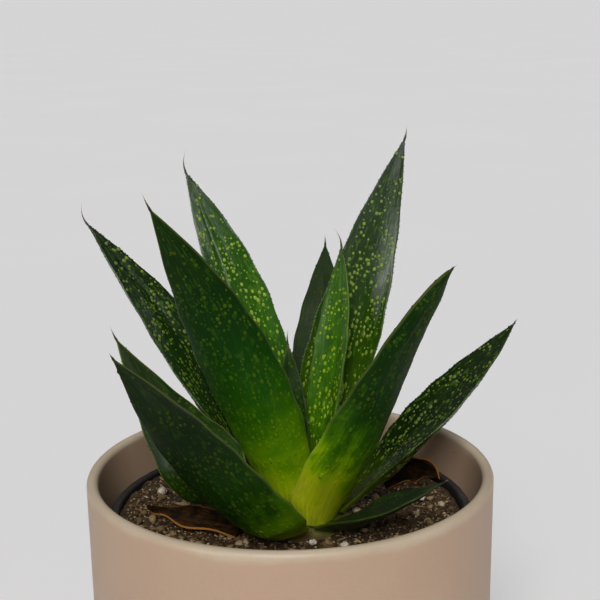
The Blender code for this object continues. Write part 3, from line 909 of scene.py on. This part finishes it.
def build_leaf(name, index):
    """One leaf with its awn, spots and teeth."""
    leaf, look = LEAVES[name], LOOKS[name]
    rng = np.random.default_rng(SPOT_SEED + index)
    skin = LeafSkin(leaf, look, name, WAVE_SEED + index)
    points, faces, attributes = leaf_body(skin)
    for more, more_faces, along, across, spot in leaf_spots(skin, rng) + leaf_teeth(skin, rng):
        start = len(points)
        points = np.concatenate([points, more])
        faces += [[corner + start for corner in face] for face in more_faces]
        none = np.zeros(len(more))
        added = {"along": along, "across": across, "spot": spot, "rim": none, "hair": none}
        for key, values in added.items():
            attributes[key] = np.concatenate([attributes[key], values])
    material = leaf_material(name + "_skin", look, skin.length, leaf.width, index * 7.0)
    new_piece(name + "_grown", points, faces, material, name, "leaf", **attributes)


# Dry leaves


def on_mix(angle, share, height):
    """A point over the mix, part of the way from the crown's edge to the nursery pot's wall."""
    turn = math.radians(angle)
    out = np.array([math.cos(turn), math.sin(turn), 0.0])
    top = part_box("potting_mix")[1].z
    start = np.array([*CROWN_PLACE, top]) + out * CROWN_RADIUS
    end = out * MIX_RADIUS + UP * top
    return start + (end - start) * share + UP * height


def curl_grid(curl, share, level, depth, seed):
    """Points of a dry leaf's sheet, wrinkled, with wavy rims."""
    start, knee, tip = (on_mix(*point) for point in (curl.start, curl.knee, curl.tip))
    place, along = bow(start, knee, tip, share[..., None])
    face = np.array(curl.face)
    face = unit(face - along * (along @ face)[..., None])
    across = np.cross(face, along)
    half = curl.width / 2 * np.sin(math.pi * (0.20 + 0.792 * share)) ** 1.2
    open_angle = math.radians(curl.wrap) / 2
    radius = curl.width / 2 / open_angle
    angle = open_angle * (half / (curl.width / 2)) * level
    wrinkle = 0.00020 * np.sin(level * 13 + 2.0 * np.sin(share * 7 + seed))
    wrinkle = wrinkle + 0.00080 * np.sin(share * 12 + level * 1.5 + seed) * np.abs(level) ** 2
    reach = radius + curl.thick / 2 + wrinkle + depth
    x, y = reach * np.sin(angle), radius - reach * np.cos(angle)
    return place + across * x[..., None] + face * y[..., None]


def build_curl(name, curl, seed, material):
    """One dry leaf, a thin closed sheet with thicker rims."""
    levels, lower = leaf_levels()
    share, level = np.meshgrid(np.linspace(0, 1, CURL_STATIONS), levels, indexing="ij")
    sides = np.broadcast_to(np.where(lower > 0.5, 1.0, -1.0), share.shape)
    rim = smoothstep((np.abs(level) - 0.93) / 0.06)
    thick = curl.thick * (0.42 + 0.55 * rim) * np.sqrt(np.maximum(1 - np.abs(level) ** 20, 0.0))
    points = curl_grid(curl, share, level, sides * thick, seed)
    faces = capped_faces(len(points), len(levels))
    new_piece(
        name + "_dry", points.reshape(-1, 3), faces, material, name, "dried_leaf",
        along=share.ravel(), across=level.ravel(), rim=rim.ravel(),
    )


def build_curls():
    """Both dry leaves."""
    material = dry_leaf_material()
    for seed, (name, curl) in enumerate(CURLS.items()):
        build_curl(name, curl, seed * 2.0 + 1.0, material)


# Pots


def turned(profile):
    """Points and faces of a slightly uneven solid of revolution, from (radius, height) points."""
    profile = np.array(profile)
    turn = np.linspace(0, 2 * math.pi, POT_SIDES, endpoint=False)
    radius, height = profile[:, :1], profile[:, 1:]
    uneven = 1 + POT_WOBBLE * (np.sin(2 * turn + 0.6) + 0.5 * np.sin(3 * turn + 2.0))
    x = radius * np.cos(turn) * uneven
    y = radius * np.sin(turn) * uneven
    z = np.broadcast_to(height, x.shape)
    return np.stack([x, y, z], axis=-1).reshape(-1, 3), capped_faces(len(profile), POT_SIDES)


def arc(centre, radius, start, end, steps):
    """Points of an arc in a profile, from one angle to another in degrees."""
    angles = np.radians(np.linspace(start, end, steps))
    return [(centre[0] + radius * math.cos(a), centre[1] + radius * math.sin(a)) for a in angles]


def build_cover_pot():
    """The thrown pot: its rim is softly rounded and its wall very slightly uneven."""
    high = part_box("cover_pot")[1]
    radius, top = high.x, high.z
    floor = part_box("nursery_pot")[0].z - POT_FLOOR_GAP
    foot = radius - POT_DRAFT * top
    inner_foot = foot - POT_WALL
    lip, corner, rounding = POT_WALL / 2, POT_CORNER, POT_FOOT_ROUNDING
    profile = [(POT_CENTRE, floor), (inner_foot * 0.6, floor), (inner_foot - corner, floor)]
    profile += arc((inner_foot - corner, floor + corner), corner, -80, 0, 6)
    profile += [(inner_foot + POT_DRAFT * h, h) for h in np.linspace(floor + 0.01, top - 0.006, 12)]
    profile += arc((radius - lip, top - lip), lip, 176, 4, 18)
    profile += [(foot + POT_DRAFT * h, h) for h in np.linspace(top - 0.006, 0.006, 16)]
    profile += arc((foot - rounding, rounding), rounding, 0, -90, 8)
    profile += [(foot * 0.7, 0.0), (POT_CENTRE, 0.0)]
    material = ceramic_material(top)
    points, faces = turned(profile)
    new_piece("cover_pot_thrown", points, faces, material, "cover_pot", "cover_pot")


def recolour_nodes():
    """Nodes whose shape is right keep it and get a finished material."""
    for node, made in (("nursery_pot", plastic_material()), ("rootstock", crown_material())):
        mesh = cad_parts[node].data
        mesh.materials.clear()
        mesh.materials.append(made)


# Potting mix


def mix_height(x, y, radius, top):
    """The lumpy top of the mix, a little lower at the pot's wall."""
    away = math.hypot(x, y) / radius
    lumps = noise.noise(Vector((x * 190, y * 190, 3.0))) * 0.0010
    lumps += noise.noise(Vector((x * 620, y * 620, 8.0))) * 0.00035
    bank = smoothstep((away - 0.72) / 0.25) * (0.0019 if x < 0 else 0.0006)
    return top - 0.0004 + bank + lumps


def build_mix():
    """The body of the mix: a lumpy top and plain tapering sides."""
    low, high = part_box("potting_mix")
    radius, top = high.x, high.z
    turns = [2 * math.pi * index / BED_POINTS for index in range(BED_POINTS)]
    points = []
    for ring in range(BED_RINGS):
        away = radius * (ring + 0.4) / (BED_RINGS - 0.6)
        for turn in turns:
            x, y = away * math.cos(turn), away * math.sin(turn)
            points.append((x, y, mix_height(x, y, radius, top)))
    side_top = top - 0.003
    for share in (0.02, 0.5, 0.97):
        away = radius - (radius - radius * BED_FOOT_SHARE) * share
        height = side_top - (side_top - low.z) * share
        points += [(away * math.cos(turn), away * math.sin(turn), height) for turn in turns]
    faces = capped_faces(len(points) // BED_POINTS, BED_POINTS)
    # The bed is darker than the loose crumbs: partly the damp peat's own tone, partly painted shade in
    # the gaps between the crumbs.
    tone = np.random.default_rng(TONE_SEED).uniform(0.05, 0.42, len(points))
    material = soil_material("mix_bed")
    new_piece("potting_mix_bed", points, faces, material, "potting_mix", "potting_mix", tone=tone)


def crumb_shape(level):
    """Unit points and faces of an icosphere."""
    bpy.ops.mesh.primitive_ico_sphere_add(subdivisions=level, radius=1.0)
    obj = bpy.context.active_object
    points = np.array([v.co for v in obj.data.vertices])
    faces = [list(p.vertices) for p in obj.data.polygons]
    bpy.data.objects.remove(obj, do_unlink=True)
    return points, faces


def scatter(count, sizes, stretch, level, tones, seed, lift):
    """Irregular crumbs that lie on the mix: (points, faces, tone). sizes are in mm."""
    rng = np.random.default_rng(seed)
    radius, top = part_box("potting_mix")[1].x - SOIL_EDGE_GAP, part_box("potting_mix")[1].z
    unit_points, unit_faces = crumb_shape(level)
    points, faces, tone = [], [], []
    for _ in range(count):
        away = radius * math.sqrt(rng.uniform(0.02, 1.0))
        turn = rng.uniform(0, 2 * math.pi)
        x, y = away * math.cos(turn), away * math.sin(turn)
        size = rng.uniform(*sizes) * MM
        shape = unit_points * (1 + rng.normal(0, 0.16, (len(unit_points), 1)))
        sides = np.array([rng.uniform(*stretch), rng.uniform(0.6, 1.0), rng.uniform(0.45, 0.8)])
        shape = shape * sides * size
        spin = Matrix.Rotation(rng.uniform(0, 6.28), 3, "Z")
        spin = spin @ Matrix.Rotation(rng.normal(0, 0.35), 3, "X")
        shape = shape @ np.array(spin).T
        height = mix_height(x, y, radius, top) + size * lift
        if away + size * stretch[1] > radius:
            continue
        start = len(points) * len(unit_points)
        points.append(shape + np.array([x, y, height]))
        faces += [[corner + start for corner in face] for face in unit_faces]
        shade = rng.choice(tones) + rng.uniform(-0.05, 0.05)
        tone.append(np.full(len(unit_points), shade))
    return np.concatenate(points), faces, np.concatenate(tone)


def build_crumbs():
    """Fine crumbs, lumps and slivers, one piece each."""
    dark = (0.10, 0.20, 0.30, 0.4, 0.5, 0.6, 0.7, 0.8)
    mixed = (0.2, 0.3, 0.45, 0.55, 0.65, 0.75, 0.85, 0.95)
    plans = (
        ("mix_crumbs", SOIL_CRUMBS, (0.20, 0.52), (0.9, 1.5), 1, dark + (0.85, 0.97), 11, 0.3),
        ("mix_lumps", SOIL_LUMPS, (0.50, 1.45), (0.9, 1.4), 2, mixed, 12, 0.35),
        ("mix_slivers", SOIL_SLIVERS, (0.35, 0.7), (2.5, 4.5), 2, (0.5, 0.65, 0.8, 0.88), 13, 0.6),
    )
    for name, count, sizes, stretch, level, tones, seed, lift in plans:
        points, faces, tone = scatter(count, sizes, stretch, level, tones, seed, lift)
        new_piece(name, points, faces, soil_material(name + "_peat"), slot="potting_mix", tone=tone)


def build_grain(node, material, slot, rough, seed):
    """A loose grain or chip, worn and pitted, in the box of its node."""
    low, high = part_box(node)
    points, faces = crumb_shape(4)
    middle = (np.array(low) + np.array(high)) / 2
    half = (np.array(high) - np.array(low)) / 2
    shaped = []
    for point in points:
        bumpy = noise.noise(Vector(point) * 1.6 + Vector((seed, 0, 0))) * rough
        bumpy += noise.noise(Vector(point) * 4.5 + Vector((0, seed, 0))) * rough * 0.4
        boxy = np.abs(point).max() ** -0.35 if slot == "bark" else 1.0
        shaped.append(middle + half * point * (0.86 * boxy + bumpy))
    new_piece(node + "_worn", shaped, faces, material, node, slot)


def build_loose():
    """The perlite grains and the bark chips."""
    perlite, bark = perlite_material(), bark_material()
    for index, node in enumerate(sorted(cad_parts)):
        if node.startswith("perlite_grain"):
            build_grain(node, perlite, "perlite", 0.20, index * 3.1)
        if node.startswith("bark_chip"):
            build_grain(node, bark, "bark", 0.14, index * 5.3)


# Light, floor and camera


def build_floor():
    """A flat pale floor that reaches the horizon."""
    bpy.ops.mesh.primitive_circle_add(
        vertices=96, radius=FLOOR_RADIUS, fill_type="NGON", location=(0, 0, 0)
    )
    floor = bpy.context.active_object
    floor.name = "floor"
    floor.data.materials.append(floor_material())


def from_turn(turn, height):
    """The direction at a turn from the front, positive to the right, and a height, in degrees."""
    turn, height = math.radians(turn), math.radians(height)
    level = math.cos(height)
    return Vector((math.sin(turn) * level, -math.cos(turn) * level, math.sin(height)))


def new_light(name, kind, source, power):
    """A light that shines from a direction."""
    light = add_object(name, bpy.data.lights.new(name, kind))
    light.rotation_euler = source.to_track_quat("Z", "Y").to_euler()
    light.data.energy = power
    return light


def sun(name, turn, height, strength, spread, colour):
    """A soft distant light."""
    light = new_light(name, "SUN", from_turn(turn, height), strength)
    light.data.angle = math.radians(spread)
    light.data.color = colour


def strip(name, turn, height, size, power):
    """A tall softbox that only gloss reflects, for the long highlights on the leaves."""
    source = from_turn(turn, height)
    light = new_light(name, "AREA", source, power)
    light.data.shape = "RECTANGLE"
    light.data.size, light.data.size_y = size
    light.location = source * STRIP_DISTANCE + Vector((0.0, 0.0, STRIP_AIM))
    light.visible_diffuse = False


def build_lights():
    """Soft studio light. The world is brighter as a background than as light."""
    sun("key", -6, 38, 2.30, 26, (1.0, 0.985, 0.96))
    sun("back", -176, 60, 0.45, 30, (0.96, 0.98, 1.0))
    strip("strip_left", -45, 11, (0.24, 0.90), 5.6)
    strip("strip_right", 78, 28, (0.13, 0.40), 2.3)
    world = bpy.data.worlds.new("studio")
    world.use_nodes = True
    tree = world.node_tree
    shade = tree.nodes["Background"]
    shade.inputs["Color"].default_value = (0.95, 0.95, 1.0, 1.0)
    path = tree.nodes.new("ShaderNodeLightPath")
    strength = tree.nodes.new("ShaderNodeMapRange")
    strength.inputs["To Min"].default_value = WORLD_LIGHT
    strength.inputs["To Max"].default_value = WORLD_SEEN
    tree.links.new(path.outputs["Is Camera Ray"], strength.inputs["Value"])
    tree.links.new(strength.outputs["Result"], shade.inputs["Strength"])
    bpy.context.scene.world = world
    bpy.context.scene.view_settings.view_transform = "Standard"


def build_camera():
    """The camera that sees the front."""
    yaw, pitch, roll = (math.radians(angle) for angle in (CAMERA_YAW, CAMERA_PITCH, CAMERA_ROLL))
    ahead = Vector((math.sin(yaw) * math.cos(pitch), math.cos(yaw) * math.cos(pitch), -math.sin(pitch)))
    right = Vector((math.cos(yaw), -math.sin(yaw), 0.0))
    up = right.cross(ahead)
    right, up = (
        right * math.cos(roll) + up * math.sin(roll),
        up * math.cos(roll) - right * math.sin(roll),
    )
    turn = Matrix((right, up, -ahead)).transposed().to_4x4()
    data = bpy.data.cameras.new("camera")
    data.lens = CAMERA_LENS
    data.sensor_width = CAMERA_SENSOR
    data.clip_start = 0.01
    data.clip_end = 2 * FLOOR_RADIUS
    camera = add_object("camera", data)
    camera.matrix_world = Matrix.Translation(CAMERA_PLACE) @ turn
    bpy.context.scene.camera = camera


def main():
    """The whole view."""
    for obj in [o for o in bpy.data.objects if o.type in ("LIGHT", "CAMERA")]:
        bpy.data.objects.remove(obj, do_unlink=True)
    build_camera()
    build_lights()
    build_floor()
    build_cover_pot()
    recolour_nodes()
    build_mix()
    build_crumbs()
    build_loose()
    build_curls()
    for index, name in enumerate(LEAVES):
        build_leaf(name, index)


main()
